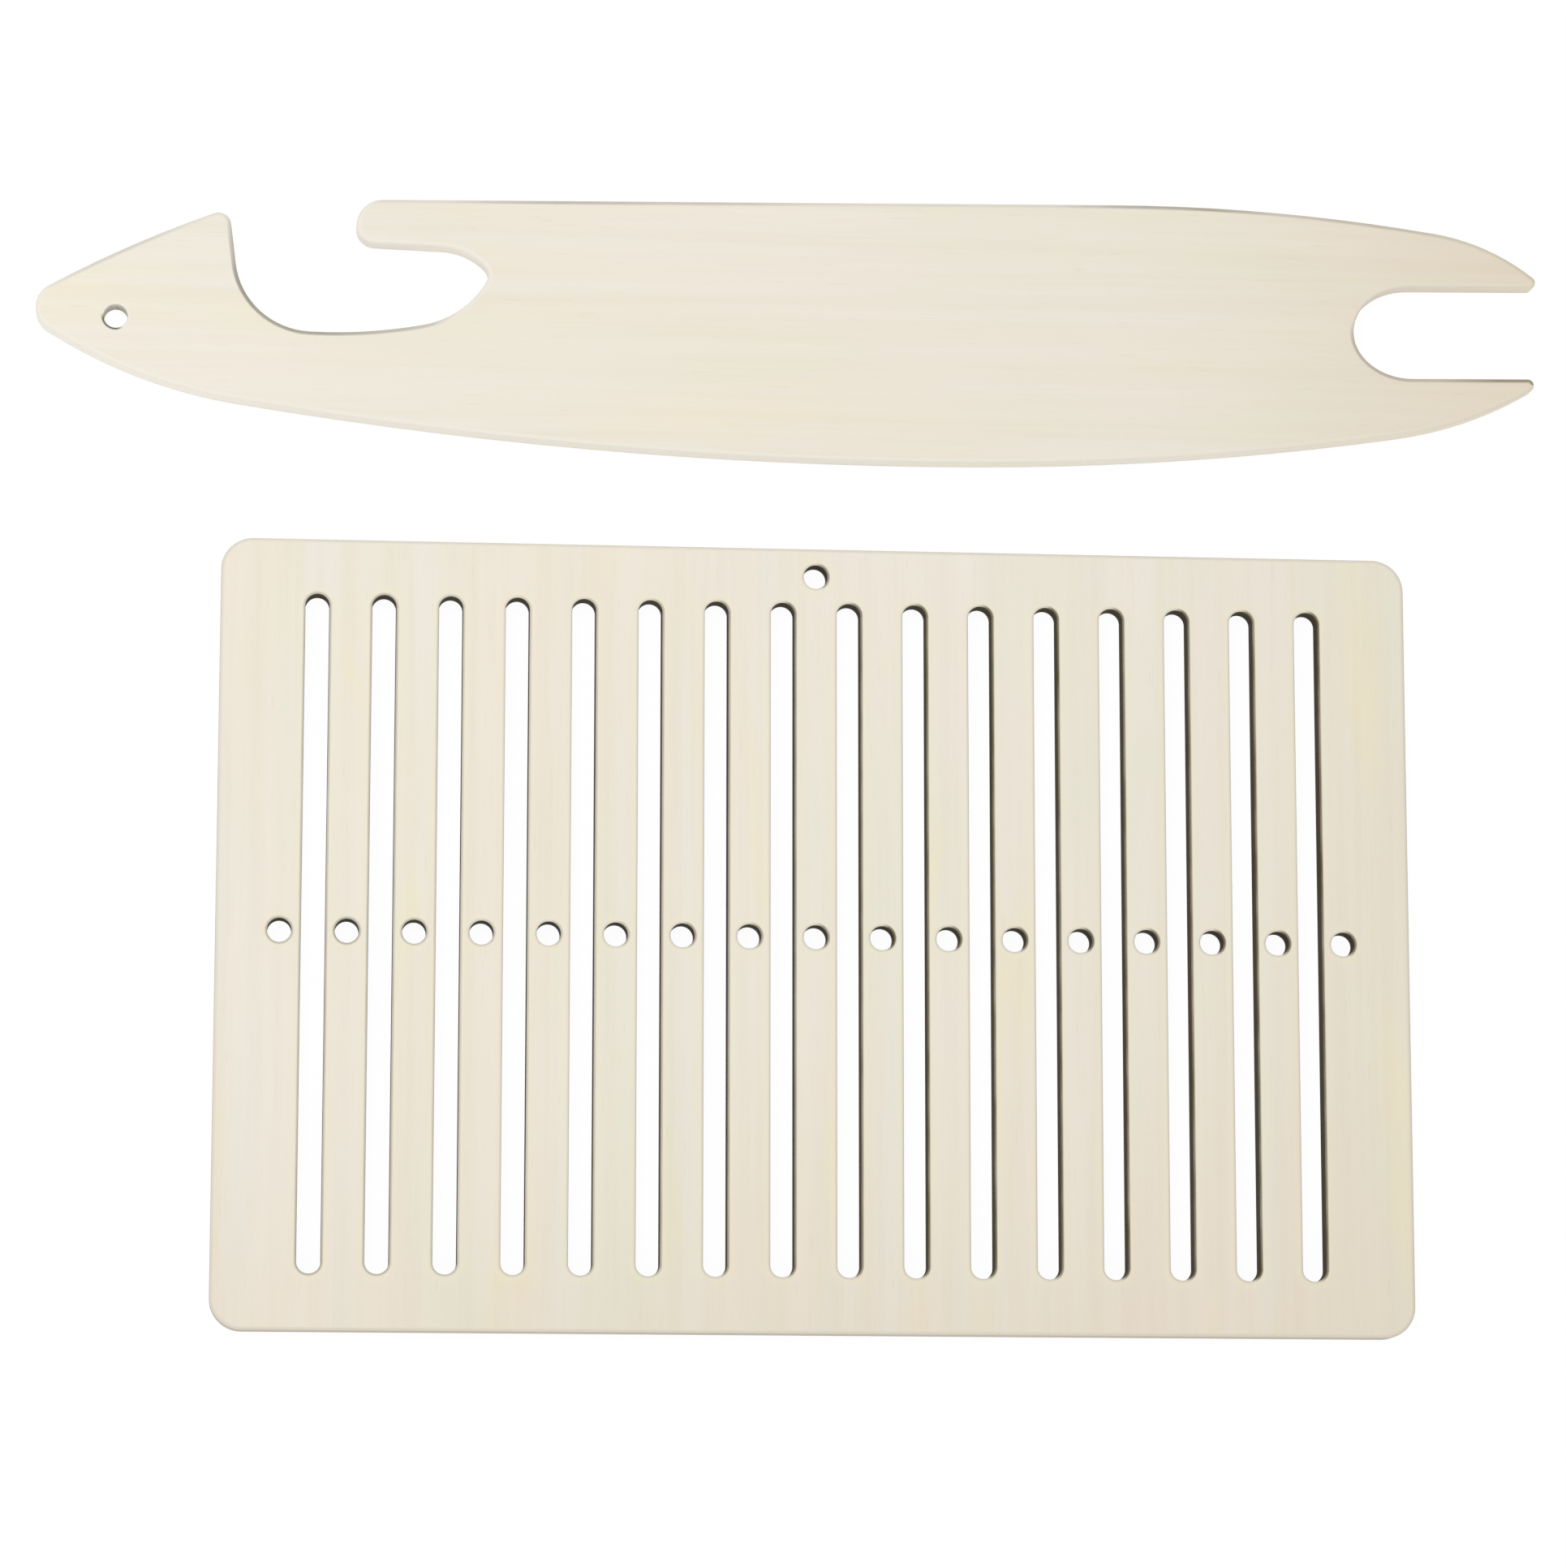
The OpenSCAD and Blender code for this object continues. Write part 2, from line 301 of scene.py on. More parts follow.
class Board(Graph):
    """A Geometry Nodes tree that turns flat closed outlines into a board with eased edges.

    An outline has the wood on the left of its travel: anticlockwise outside, clockwise round a hole.
    """

    def __init__(self, name):
        super().__init__(bpy.data.node_groups.new(name, "GeometryNodeTree"))
        self.sockets = {}
        self.source = self.tree.nodes.new("NodeGroupInput")
        self.rims = []
        self.outlines = self.take("Geometry", "NodeSocketGeometry")
        self.tree.interface.new_socket("Geometry", in_out="OUTPUT", socket_type="NodeSocketGeometry")

    def take(self, name, kind="NodeSocketFloat"):
        """Adds a named input to the tree and gives its socket."""
        item = self.tree.interface.new_socket(name, in_out="INPUT", socket_type=kind)
        self.sockets[name] = item.identifier
        return Socket(self, next(s for s in self.source.outputs if s.identifier == item.identifier))

    def vector(self, x=0.0, y=0.0, z=0.0):
        """A vector of numbers or sockets."""
        return self.add("ShaderNodeCombineXYZ", None, {"X": x, "Y": y, "Z": z}).out()

    def store(self, geometry, name, value):
        """Keeps a value at each point as an attribute, which the materials read."""
        settings = {"data_type": "FLOAT", "domain": "POINT"}
        return self.add("GeometryNodeStoreNamedAttribute", settings,
                        {"Geometry": geometry, "Name": name, "Value": value}).out()

    def moved(self, geometry, offset):
        """The geometry with each point moved by the offset."""
        return self.add("GeometryNodeSetPosition", None, {"Geometry": geometry, "Offset": offset}).out()

    def facing(self, way):
        """How squarely the wall at a point of an outline faces a way, from -1 to 1."""
        along_x, along_y, _ = self.parts(self.add("GeometryNodeInputTangent").out())
        return along_y * way.math("COSINE", way) - along_x * way.math("SINE", way)

    def rim(self, outlines, thickness, arris, margin):
        """Sweeps the edge of the board along the outlines: a flat margin, the arris and the wall.

        The profile's first two points are at the top and its last two at the underside. Its ends
        lie inward, and its middle points are the corners that become the arrises.
        """
        line = self.add("GeometryNodeMeshLine", {"mode": "OFFSET"},
                        {"Count": PROFILE_POINTS, "Offset": (0.0, 0.0, 0.0)}).out()
        from_middle = self.add("GeometryNodeInputIndex").out() - (PROFILE_POINTS - 1) / 2.0
        upper = from_middle < 0.0
        at_end = abs(from_middle) > 1.0
        inward = at_end * (arris + margin) * -1.0
        line = self.moved(line, self.vector(upper * thickness, inward))
        line = self.store(line, "edge", 1.0 - at_end)
        profile = self.add("GeometryNodeMeshToCurve", None, {"Mesh": line}).out()
        profile = self.add("GeometryNodeFilletCurve", {"mode": "POLY"},
                           {"Curve": profile, "Radius": arris, "Count": ARRIS_STEPS}).out()
        upright = self.add("GeometryNodeSetCurveNormal", {"mode": "FREE"},
                           {"Curve": outlines, "Normal": (0.0, 0.0, 1.0)}).out()
        swept = self.add("GeometryNodeCurveToMesh", None, {"Curve": upright, "Profile Curve": profile}).out()
        self.rims.append(swept)

    def finish(self, thickness, face_finish, edge_finish):
        """Fills both faces between the rims, joins all and gives the finishes."""
        rims = self.add("GeometryNodeJoinGeometry", None, {"Geometry": self.rims}).out()
        edge = self.add("GeometryNodeInputNamedAttribute", {"data_type": "FLOAT"}, {"Name": "edge"}).out()
        height = self.parts(self.add("GeometryNodeInputPosition").out())[2]
        on_top = height > thickness / 2.0
        inner = edge < EDGE_SLACK
        caps = []
        for side in (on_top, 1.0 - on_top):
            ring = self.add("GeometryNodeMeshToCurve", None, {"Mesh": rims, "Selection": inner * side}).out()
            cap = self.add("GeometryNodeFillCurve", {"mode": "TRIANGLES"}, {"Curve": ring}).out()
            caps.append(cap)
        top = self.moved(caps[0], self.vector(z=thickness))
        bottom = self.add("GeometryNodeFlipFaces", None, {"Mesh": caps[1]}).out()
        faces = self.add("GeometryNodeJoinGeometry", None, {"Geometry": [top, bottom]}).out()
        faces = self.store(faces, "edge", 0.0)
        whole = self.add("GeometryNodeJoinGeometry", None, {"Geometry": [rims, faces]}).out()
        whole = self.add("GeometryNodeMergeByDistance", None,
                         {"Geometry": whole, "Distance": JOIN_DISTANCE}).out()
        whole = self.add("GeometryNodeSetShadeSmooth", None, {"Geometry": whole, "Shade Smooth": True}).out()
        whole = self.add("GeometryNodeRealizeInstances", None, {"Geometry": whole}).out()
        whole = self.add("GeometryNodeSetMaterial", None,
                         {"Geometry": whole, "Material": face_finish}).out()
        at_edge = self.add("GeometryNodeFieldOnDomain", {"data_type": "FLOAT", "domain": "FACE"},
                           {0: edge}).out()
        whole = self.add("GeometryNodeSetMaterial", None,
                         {"Geometry": whole, "Material": edge_finish,
                          "Selection": at_edge > 1.0 - EDGE_SLACK}).out()
        target = self.tree.nodes.new("NodeGroupOutput")
        self.tree.links.new(whole.socket, target.inputs[0])


def heddle_tree():
    """The tree of the slot-and-eye grille."""
    board = Board("Slot and eye grille")
    thickness = board.take("Thickness")
    left, right = board.take("Left edge"), board.take("Right edge")
    half_height = board.take("Half height")
    corner = board.take("Corner radius")
    slots = board.take("Slots", "NodeSocketInt")
    pitch = board.take("Pitch")
    slot_length, slot_width = board.take("Slot length"), board.take("Slot width")
    eye, hanging = board.take("Eye diameter"), board.take("Hanging hole diameter")
    drop = board.take("Hanging hole drop")
    arris, cut_arris, margin = board.take("Arris"), board.take("Cut arris"), board.take("Margin")
    scorched_and_shaded_side = board.take("Scorched side")
    face_finish = board.take("Board face", "NodeSocketMaterial")
    edge_finish = board.take("Cut edge", "NodeSocketMaterial")

    plate = board.add("GeometryNodeCurvePrimitiveQuadrilateral", {"mode": "RECTANGLE"},
                      {"Width": right - left, "Height": half_height * 2.0}).out()
    plate = board.moved(plate, board.vector((left + right) / 2.0))
    plate = board.add("GeometryNodeFilletCurve", {"mode": "POLY"},
                      {"Curve": plate, "Radius": corner, "Count": CORNER_STEPS}).out()
    plate = board.store(plate, "scorch", OUTER_SCORCH)
    plate = board.store(plate, "smoke", OUTER_SMOKE)
    board.rim(plate, thickness, arris, margin)

    def row(count):
        """Points spaced by the pitch, about the middle of the grille."""
        start = (count - 1.0) * pitch / -2.0
        return board.add("GeometryNodeMeshLine", {"mode": "OFFSET"},
                         {"Count": count, "Start Location": board.vector(start),
                          "Offset": board.vector(pitch)}).out()

    def ring(diameter):
        """A clockwise circle, with the wood outside it. Its short sides touch the true circle."""
        half_step = math.pi / ROUND_STEPS
        radius = diameter / (2.0 * math.cos(half_step))
        circle = board.add("GeometryNodeCurvePrimitiveCircle", {"mode": "RADIUS"},
                           {"Resolution": ROUND_STEPS, "Radius": radius}).out()
        circle = board.add("GeometryNodeTransform", None,
                           {"Geometry": circle, "Rotation": Euler((0.0, 0.0, half_step))}).out()
        return board.add("GeometryNodeReverseCurve", None, {"Curve": circle}).out()

    def repeated(outline, points):
        """The outline at each point."""
        copies = board.add("GeometryNodeInstanceOnPoints", None,
                           {"Points": points, "Instance": outline}).out()
        return board.add("GeometryNodeRealizeInstances", None, {"Geometry": copies}).out()

    across, height, _ = board.parts(board.add("GeometryNodeInputPosition").out())
    stretch = height.sign() * (slot_length - slot_width) / 2.0
    slot = board.moved(ring(slot_width), board.vector(y=stretch))
    holes = [repeated(slot, row(slots)), repeated(ring(eye), row(slots + 1.0)),
             board.moved(ring(hanging), board.vector(y=half_height - drop))]
    holes = board.add("GeometryNodeJoinGeometry", None, {"Geometry": holes}).out()
    holes = board.store(holes, "scorch", 1.0)
    near_left = 1.0 - soft_step(across, *LEFT_SMOKE)
    # Smoke on the hole edges that face the scorched side, growing towards the right: partly laser smoke,
    # partly painted shade deepening the slots' dark walls
    away = soft_step(board.facing(scorched_and_shaded_side), *SMOKE_AND_SHADE_TURN) * soft_step(across, *SMOKE_AND_SHADE_GROWTH)
    smoked = away * AWAY_SMOKE_AND_SHADE + near_left * NEAR_SMOKE
    holes = board.store(holes, "smoke", smoked.least(1.0) * (1.0 - LEAST_SMOKE) + LEAST_SMOKE)
    board.rim(holes, thickness, cut_arris, margin)
    board.finish(thickness, face_finish, edge_finish)
    return board


def shuttle_tree():
    """The tree that gives the shuttle's outline its edges and its scorch."""
    board = Board("Hooked board edge")
    thickness = board.take("Thickness")
    arris, cut_arris, margin = board.take("Arris"), board.take("Cut arris"), board.take("Margin")
    scorched_and_shaded_side = board.take("Scorched side")
    face_finish = board.take("Board face", "NodeSocketMaterial")
    edge_finish = board.take("Cut edge", "NodeSocketMaterial")

    place = board.add("GeometryNodeInputPosition").out()

    def past(spot, reach):
        """0 near the spot and 1 beyond its reach."""
        away = board.add("ShaderNodeVectorMath", {"operation": "DISTANCE"}, {0: place, 1: spot}).out()
        return soft_step(away, *reach)

    dwelt, *others = ((1.0 - past(spot, DWELL_REACH)) * strength for spot, strength in BEAM_DWELT)
    for other in others:
        dwelt = dwelt.most(other)
    # Scorch on the walls and smoke on the arrises that face the scorched side: partly laser scorch, partly
    # painted shade of edges turned from the light
    scorched = soft_step(board.facing(scorched_and_shaded_side), *SCORCH_AND_SHADE_RANGE) * past(HOOK_TIP, TIP_REACH)
    outlines = board.store(board.outlines, "scorch", scorched)
    outlines = board.store(outlines, "smoke", scorched * (dwelt * DWELT_SMOKE + BACK_SMOKE))
    around = board.add("GeometryNodeSplineLength").out("Length")
    split = board.add("GeometryNodeSeparateGeometry", {"domain": "CURVE"},
                      {"Geometry": outlines, "Selection": around > HOLE_ROUND})
    board.rim(split.out("Selection"), thickness, arris, margin)
    board.rim(split.out("Inverted"), thickness, cut_arris, margin)
    board.finish(thickness, face_finish, edge_finish)
    return board


# Meshes


def made_mesh(source, board, values, name):
    """Runs the tree on the source and gives its result as a plain, closed mesh object."""
    modifier = source.modifiers.new("Board", "NODES")
    modifier.node_group = board.tree
    for socket, value in values.items():
        modifier[board.sockets[socket]] = value
    result = source.evaluated_get(bpy.context.evaluated_depsgraph_get())
    mesh = bpy.data.meshes.new_from_object(result)
    source.modifiers.remove(modifier)
    bpy.data.objects.remove(source)
    work = bmesh.new()
    work.from_mesh(mesh)
    bmesh.ops.remove_doubles(work, verts=work.verts, dist=JOIN_DISTANCE)
    bmesh.ops.recalc_face_normals(work, faces=work.faces)
    open_edges = sum(not edge.is_manifold for edge in work.edges)
    if open_edges:
        raise RuntimeError(f"{name} has {open_edges} edges that don't close")
    work.to_mesh(mesh)
    work.free()
    mesh.name = name
    return added(name, mesh)


def added(name, data):
    """A new object in the scene, with that data."""
    piece = bpy.data.objects.new(name, data)
    bpy.context.scene.collection.objects.link(piece)
    return piece


def outline_curve(node, height):
    """The outlines of a CAD node's face at a height, as a flat curve with the wood on its left.

    Long straight stretches get points of their own, so that the smoke and painted shade can change along
    them.
    """
    work = bmesh.new()
    work.from_mesh(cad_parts[node].data)
    bmesh.ops.remove_doubles(work, verts=work.verts, dist=JOIN_DISTANCE)

    def flat(face):
        """Whether the whole face lies at the height."""
        return all(abs(v.co.z - height) < JOIN_DISTANCE for v in face.verts)

    following = {}
    for face in work.faces:
        if not flat(face):
            continue
        for loop in face.loops:
            if not all(flat(other) for other in loop.edge.link_faces):
                following[loop.vert.index] = loop.link_loop_next.vert.index
    work.verts.ensure_lookup_table()
    curve = bpy.data.curves.new(node, "CURVE")
    curve.dimensions = "3D"
    while following:
        start = next(iter(following))
        ring = [start]
        while (step := following.pop(ring[-1])) != start:
            ring.append(step)
        corners = [work.verts[index].co for index in ring]
        places = []
        for start, end in zip(corners, corners[1:] + corners[:1]):
            steps = math.ceil((end - start).length / LONGEST_STEP)
            places += [start.lerp(end, step / steps) for step in range(steps)]
        spline = curve.splines.new("POLY")
        spline.points.add(len(places) - 1)
        for point, place in zip(spline.points, places):
            point.co = (place.x, place.y, 0.0, 1.0)
        spline.use_cyclic_u = True
    work.free()
    return added(node + "_outline", curve)


# Materials


class Finish(Graph):
    """A material with one Principled shader under construction.

    It grows darker along X or against Y over the stretch given, partly in the wood's tone and partly
    as painted shade of the light's falloff.
    """

    def __init__(self, name, along_x, ripening):
        self.material = bpy.data.materials.new(name)
        self.material.use_nodes = True
        super().__init__(self.material.node_tree)
        self.tree.nodes.clear()
        self.place = self.add("ShaderNodeTexCoord").out("Object")
        self.x, self.y, self.z = self.parts(self.place)
        self.ripe = soft_step(self.x if along_x else -self.y, *ripening)

    def noise(self, cells, detail=2.0, roughness=0.5, distortion=0.0, turn=0.0):
        """Noise with the given cells to the metre on each axis, turned about Z."""
        place = self.add("ShaderNodeMapping", {"vector_type": "POINT"},
                         {"Vector": self.place, "Scale": cells, "Rotation": (0.0, 0.0, turn)}).out()
        inputs = {"Vector": place, "Scale": 1.0, "Detail": detail, "Roughness": roughness,
                  "Distortion": distortion}
        return self.add("ShaderNodeTexNoise", None, inputs).out("Fac")

    def blotches(self):
        """Unevenness about 0, as a cutting beam leaves it."""
        return (self.noise(BLOTCH_CELLS) - 0.5) * BLOTCH_SHARE

    def mixed(self, share, below, above, blend="MIX"):
        """Two colours, tuples or sockets, with the one above laid over the other by its share."""
        settings = {"data_type": "RGBA", "blend_type": blend, "clamp_factor": True}
        below, above = ((*c, 1.0) if isinstance(c, tuple) else c for c in (below, above))
        return self.add("ShaderNodeMix", settings, {"Factor": share, "A": below, "B": above}).out("Result")

    def attribute(self, name):
        """An attribute that the board's tree has stored."""
        return self.add("ShaderNodeAttribute", {"attribute_name": name}).out("Fac")

    def tinted(self, share, colour, tint):
        """The colour, multiplied by the tint as far as the share goes."""
        return self.mixed(share, colour, self.mixed(1.0, colour, tint, "MULTIPLY"))

    def eased(self, finish):
        """The tone of the eased edges, unevenly smoked, the smoke partly painted shade."""
        arris = self.tinted(self.ripe, finish["arris"], finish["ripe"])
        return self.mixed(self.attribute("smoke") * (1.0 + self.blotches()), arris, finish["smoke"])

    def close(self, colour, relief, grain, surface):
        """Puts colour and relief into the shader, and the grain into its roughness."""
        least, added_by_grain, depth, specular = surface
        normal = self.add("ShaderNodeBump", None,
                          {"Strength": 1.0, "Distance": depth, "Height": relief}).out()
        shader = self.add("ShaderNodeBsdfPrincipled", None,
                          {"Base Color": colour, "Roughness": least + added_by_grain * grain,
                           "Normal": normal, "Specular IOR Level": specular}).out()
        self.add("ShaderNodeOutputMaterial", None, {"Surface": shader})
        return self.material


def linear(red, green, blue):
    """A colour picked on a screen, 0 to 255, as the linear values that sockets take."""
    def one(value):
        value /= 255.0
        return value / 12.92 if value <= 0.04045 else ((value + 0.055) / 1.055) ** 2.4
    return one(red), one(green), one(blue)


def board_face(name, finish, along_x, ripening, mottling, hole_field=None):
    """The sanded face of pale plywood, its grain along X or along Y and darker at one end, partly in tone
    and partly as painted shade.
    """
    face = Finish(name, along_x, ripening)

    def figure(kind):
        """One field of the figure, with its cells laid along the grain."""
        (along, across, deep), *character = FIGURE[kind]
        cells = (along, across, deep) if along_x else (across, along, deep)
        return face.noise(cells, *character)

    def shown(kind, field):
        """How far a field of that kind comes in, from 0 to 1."""
        return soft_step(field, *SHOWS[kind])

    patch, streak, fine = figure("patch"), figure("streak"), figure("fine")
    pores = shown("pores", figure("pores"))
    mottles = {"blush": shown("patch", patch), "sap": shown("patch", 1.0 - patch),
               "ash": shown("ash", figure("ash")), "honey": shown("stain", figure("stain"))}
    colour = face.mixed(shown("cloud", figure("cloud")), finish["cream"], finish["shade"])
    for tint, share in mottles.items():
        colour = face.mixed(share * mottling, colour, finish[tint])
    # Darker towards one end: partly the wood's tone, partly painted shade of the light's falloff
    colour = face.tinted(face.ripe, colour, finish["ripe"])
    grain = weighted((shown("streak", streak), shown("fine", fine), pores), TINT_SHARES)
    colour = face.tinted(grain, colour, finish["streak"])
    if hole_field:
        colour = face.mixed(hole_field(face), colour, finish["halo"])
    colour = face.mixed(soft_step(face.attribute("edge"), 0.0, 1.0), colour, face.eased(finish))
    return face.close(colour, weighted((streak, fine, pores), RELIEF_SHARES), streak, FACE_SURFACE)


def board_edge(name, finish, along_x, ripening, thickness, arris):
    """The wall that the cutting beam leaves: plies that run from pale, painted lighter than the face to
    cancel the wall's shade, to scorched brown.
    """
    edge = Finish(name, along_x, ripening)
    level = edge.z / thickness
    wobble = edge.noise(PLY_CELLS) - 0.5
    middle = abs(level + wobble * PLY_WOBBLE - 0.5)
    glue = 1.0 - soft_step(abs(middle - GLUE_LEVEL), *GLUE_FADE)
    core = 1.0 - soft_step(middle, *CORE_FADE)
    beam = edge.noise(BEAM_CELLS, roughness=BEAM_ROUGHNESS)

    # The ply tones are lighter than the face: painted light that cancels the shade on the upright wall
    pale = edge.mixed(core * CORE_SHARE, finish["pale_ply"], finish["core_ply"])
    pale = edge.mixed(glue * GLUE_SHARE, pale, finish["glue"])
    pale = edge.tinted(edge.ripe, pale, finish["ripe"])
    depth = soft_step(1.0 - level + edge.blotches(), *SCORCH_DEEPENS)
    dark = edge.mixed(depth, finish["scorch_light"], finish["scorch"])
    dark = edge.mixed(soft_step(beam, *BEAM_SHOWS) * BEAM_SHARE, dark, finish["scorch_light"])
    # On the shuttle the scorch follows the edges' facing and is partly painted shade of walls turned from
    # the light
    colour = edge.mixed(edge.attribute("scorch"), pale, dark)
    eased = arris / thickness
    near_face = soft_step(abs(level - 0.5), 0.5 - eased, 0.5 - eased * (1.0 - ARRIS_FADE))
    colour = edge.mixed(near_face, colour, edge.eased(finish))
    return edge.close(colour, weighted((beam, glue), (BEAM_RELIEF, PLY_RELIEF)), beam, WALL_SURFACE)


def heddle_holes(face):
    """How strongly the cuts have toned the heddle's face beside them, by the rule of slots and eyes."""
    sizes = bpy.context.scene.loom_heddle

    def aside(count):
        """How far a point is from the nearest middle of a row of that many holes."""
        middle = (count - 1) / 2.0
        index = (face.x / sizes.pitch + middle).nearest().most(0.0).least(count - 1.0)
        return face.x - (index - middle) * sizes.pitch

    def away(across, along):
        """The distance that two steps at right angles make."""
        return (across * across + along * along).root()

    past = (abs(face.y) - (sizes.slot_length - sizes.slot_width) / 2.0).most(0.0)
    to_slot = away(aside(sizes.slots), past) - sizes.slot_width / 2.0
    to_eye = away(aside(sizes.slots + 1), face.y) - sizes.eye_diameter / 2.0
    hanging = HEDDLE_BOX[1].y - sizes.hanging_drop
    to_hanging = away(face.x, face.y - hanging) - sizes.hanging_diameter / 2.0
    reach = to_slot.least(to_eye).least(to_hanging)
    near = 1.0 - soft_step(reach, *HALO_REACH)
    return near * (HALO_SHARE * face.noise(HALO_CELLS))


# Properties


def length(name, description, default):
    """A size, in metres."""
    return bpy.props.FloatProperty(name=name, description=description, default=default,
                                   min=0.0, unit="LENGTH", precision=5)


def heading(name, description, degrees):
    """A way in the plane of the boards, given in degrees from X."""
    return bpy.props.FloatProperty(name=name, description=description, default=math.radians(degrees),
                                   subtype="ANGLE", unit="ROTATION")


def tone(name, description, red, green, blue):
    """A colour, given as on a screen."""
    return bpy.props.FloatVectorProperty(name=name, description=description, subtype="COLOR", size=3,
                                         min=0.0, max=1.0, default=linear(red, green, blue))


class HeddleSizes(bpy.types.PropertyGroup):
    """Sizes of the heddle's grille."""

    slots: bpy.props.IntProperty(
        name="Slots", description="Number of slots; there is one eye more", default=16, min=1)
    pitch: length("Pitch", "Distance from one slot to the next", 8.35 * MM)
    slot_length: length("Slot length", "Length of a slot over its round ends", 85.0 * MM)
    slot_width: length("Slot width", "Width of a slot", 3.0 * MM)
    eye_diameter: length("Eye diameter", "Diameter of a round eye", 3.0 * MM)
    hanging_diameter: length("Hanging hole", "Diameter of the hanging hole", 3.0 * MM)
    hanging_drop: length("Hanging hole drop", "From the upper edge to the hanging hole's middle", 3.6 * MM)
    corner_radius: length("Corner radius", "Radius of the plate's corners", 4.0 * MM)


class EdgeSizes(bpy.types.PropertyGroup):
    """Sizes of the boards' edges."""

    arris: length("Heddle's arris", "Radius that sanding has left on the heddle's outer edges", 0.3 * MM)
    shuttle_arris: length("Shuttle's arris", "Radius that sanding has left on the shuttle", 0.42 * MM)
    cut_arris: length("Hole arris", "Radius on the edges of slots, eyes and tie hole", 0.17 * MM)
    margin: length("Margin", "Flat strip beside an arris where the finish changes", 0.25 * MM)
    # The scorched sides are partly painted shade: edges facing them are darkened as if turned from the light
    heddle_side: heading("Heddle's scorched side", "Way that the heddle's darkest hole edges face", 190.0)
    shuttle_side: heading("Shuttle's scorched side", "Way that the shuttle's darkest edges face", 55.0)


class BoardColours(bpy.types.PropertyGroup):
    """Colours of the plywood's faces and cut edges."""

    cream: tone("Cream", "Lighter cream of the face", 239, 231, 218)
    shade: tone("Shade", "Deeper cream of the face", 236, 227, 210)
    blush: tone("Blush", "Pinkish patches of the face", 239, 229, 215)
    sap: tone("Sap", "Greenish patches of the face", 233, 230, 212)
    ash: tone("Ash", "Greyish bands of the face", 234, 230, 218)
    honey: tone("Honey", "Yellowish stains of the face", 240, 230, 200)
    # Tint towards the darker end: partly the wood's tone, partly painted shade of the light's falloff
    ripe: tone("Darker end", "Tint towards a board's darker end", 248, 244, 236)
    streak: tone("Streak", "Tint of the grain's streaks", 250, 247, 240)
    halo: tone("Halo", "Tone that the beam leaves beside a cut", 239, 230, 202)
    arris: tone("Arris", "Eased edges that were sanded", 236, 228, 212)
    # Smoke on the eased edges: partly laser smoke, partly painted shade on the edges that face the scorched
    # side
    smoke: tone("Smoke", "Eased edges that the beam has smoked", 96, 86, 60)
    soft_arris: tone("Shuttle's arris", "Eased edges of the shuttle", 238, 231, 217)
    # Both ply tones are lighter than the face: painted light that cancels the shade on the cut walls
    pale_ply: tone("Outer ply", "Cut wall of the outer plies", 251, 245, 234)
    core_ply: tone("Core ply", "Cut wall of the core", 248, 240, 226)
    glue: tone("Glue line", "Line between two plies", 206, 190, 164)
    scorch: tone("Scorch", "Darkest wall", 52, 42, 20)
    scorch_light: tone("Light scorch", "Lighter wall", 88, 76, 46)


class StudioSettings(bpy.types.PropertyGroup):
    """The photograph's view and the light."""

    place: bpy.props.FloatVectorProperty(
        name="Camera place", description="Where the camera stands", subtype="TRANSLATION", unit="LENGTH",
        default=(-0.072117, -0.098857, 0.705005))
    turn: bpy.props.FloatVectorProperty(
        name="Camera turn", description="How the camera is turned", subtype="EULER",
        default=tuple(math.radians(a) for a in (9.51038154, -5.53646062, 0.02588346)))
    lens: bpy.props.FloatProperty(
        name="Lens", description="Focal length in millimetres", default=130.916, min=1.0)
    daylight: bpy.props.FloatProperty(
        name="Daylight", description="Strength of the even light", default=0.63, min=0.0)
    lamp_power: bpy.props.FloatProperty(
        name="Lamp", description="Power of the soft lamp at the left", default=0.9, min=0.0, unit="POWER")
    fill_power: bpy.props.FloatProperty(
        name="Fill", description="Power of the low soft lamp in front", default=3.4, min=0.0, unit="POWER")
    floor_width: length("Floor width", "Width of the pale floor", 6.0)


def colours():
    """The board's colours by name, as tuples."""
    group = bpy.context.scene.loom_colours
    return {name: tuple(getattr(group, name)) for name in BoardColours.__annotations__}


# Operators


class LOOM_OT_heddle(bpy.types.Operator):
    """Build the heddle plate with its slots, eyes and hanging hole"""

    bl_idname = "loom.heddle"
    bl_label = "Heddle plate"

    def execute(self, context):
        sizes, edges, finish = context.scene.loom_heddle, context.scene.loom_edges, colours()
        low, high = HEDDLE_BOX
        thickness = high.z - low.z
        values = {
            "Thickness": thickness, "Left edge": low.x, "Right edge": high.x, "Half height": high.y,
            "Corner radius": sizes.corner_radius, "Slots": sizes.slots, "Pitch": sizes.pitch,
            "Slot length": sizes.slot_length, "Slot width": sizes.slot_width,
            "Eye diameter": sizes.eye_diameter, "Hanging hole diameter": sizes.hanging_diameter,
            "Hanging hole drop": sizes.hanging_drop, "Arris": edges.arris,
            "Cut arris": edges.cut_arris, "Margin": edges.margin, "Scorched side": edges.heddle_side,
            "Board face": board_face("heddle_face", finish, False, HEDDLE_DARKER_END, HEDDLE_MOTTLING,
                                     heddle_holes),
            "Cut edge": board_edge("heddle_cut_edge", finish, False, HEDDLE_DARKER_END, thickness,
                                   edges.cut_arris),
        }
        source = added("heddle_source", bpy.data.meshes.new("heddle_source"))
        plate = made_mesh(source, heddle_tree(), values, "heddle_plate")
        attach(plate, "heddle")
        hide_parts("heddle")
        return {"FINISHED"}


